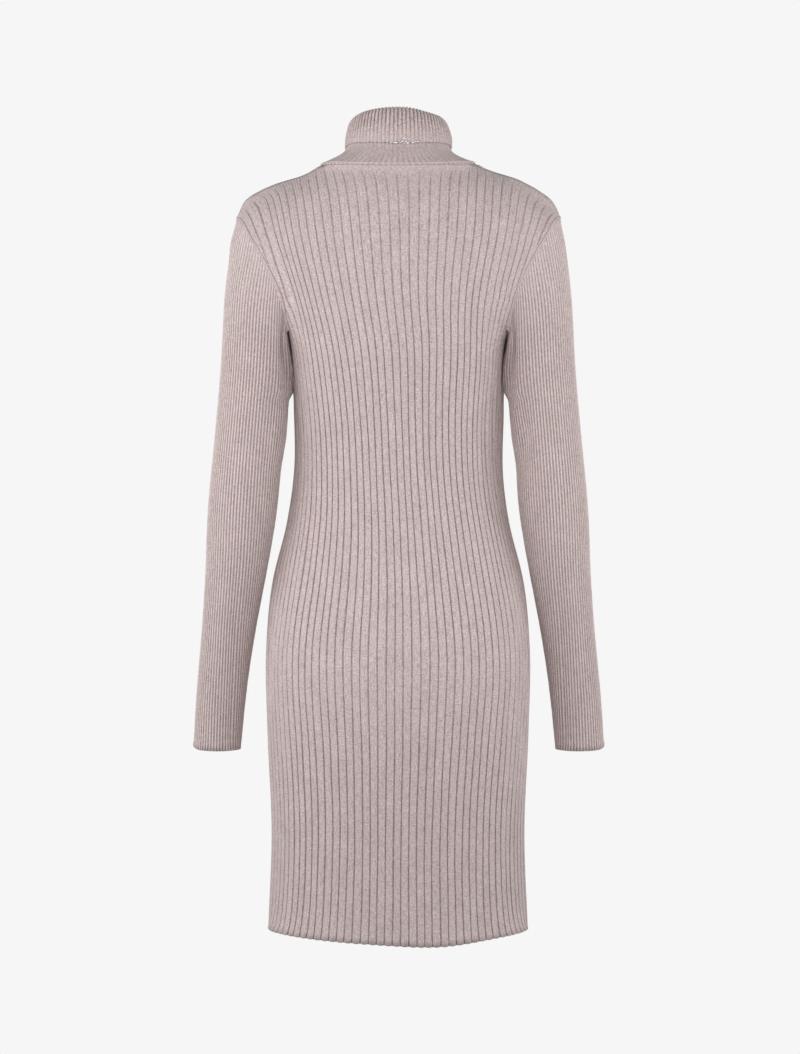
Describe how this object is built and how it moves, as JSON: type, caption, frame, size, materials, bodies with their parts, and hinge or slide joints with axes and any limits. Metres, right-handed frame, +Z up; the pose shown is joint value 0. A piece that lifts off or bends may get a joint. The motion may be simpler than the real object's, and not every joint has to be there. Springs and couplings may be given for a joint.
{
  "type": "sweater dress",
  "caption": "Knee-high rib-knit sweater dress with long fine-rib sleeves and a fold-over high collar, filled out as if worn, open at neck, cuffs and hem.",
  "frame": {"origin": "between the shoulders, at the base of the neck, where the wearer's shoulders hold the dress up", "axes": "+Z up along the wearer, the front of the dress faces -Y and its back +Y, +X is the wearer's left"},
  "size_m": [0.4786, 0.221, 0.9456],
  "materials": {
    "body_knit": "wide flat rib knit in melange pink-grey yarn, matt with a slight fuzz",
    "sleeve_knit": "fine rib knit in the same melange yarn, matt with a slight fuzz",
    "collar_knit": "fine rib knit in the same melange yarn, matt with a slight fuzz",
    "bead_trim": "small silver beads, bright"
  },
  "bodies": {
    "root": {"back_panel": "body_knit", "front_panel": "body_knit", "sleeve_left": "sleeve_knit", "sleeve_right": "sleeve_knit", "collar": "collar_knit"}
  },
  "joints": []
}
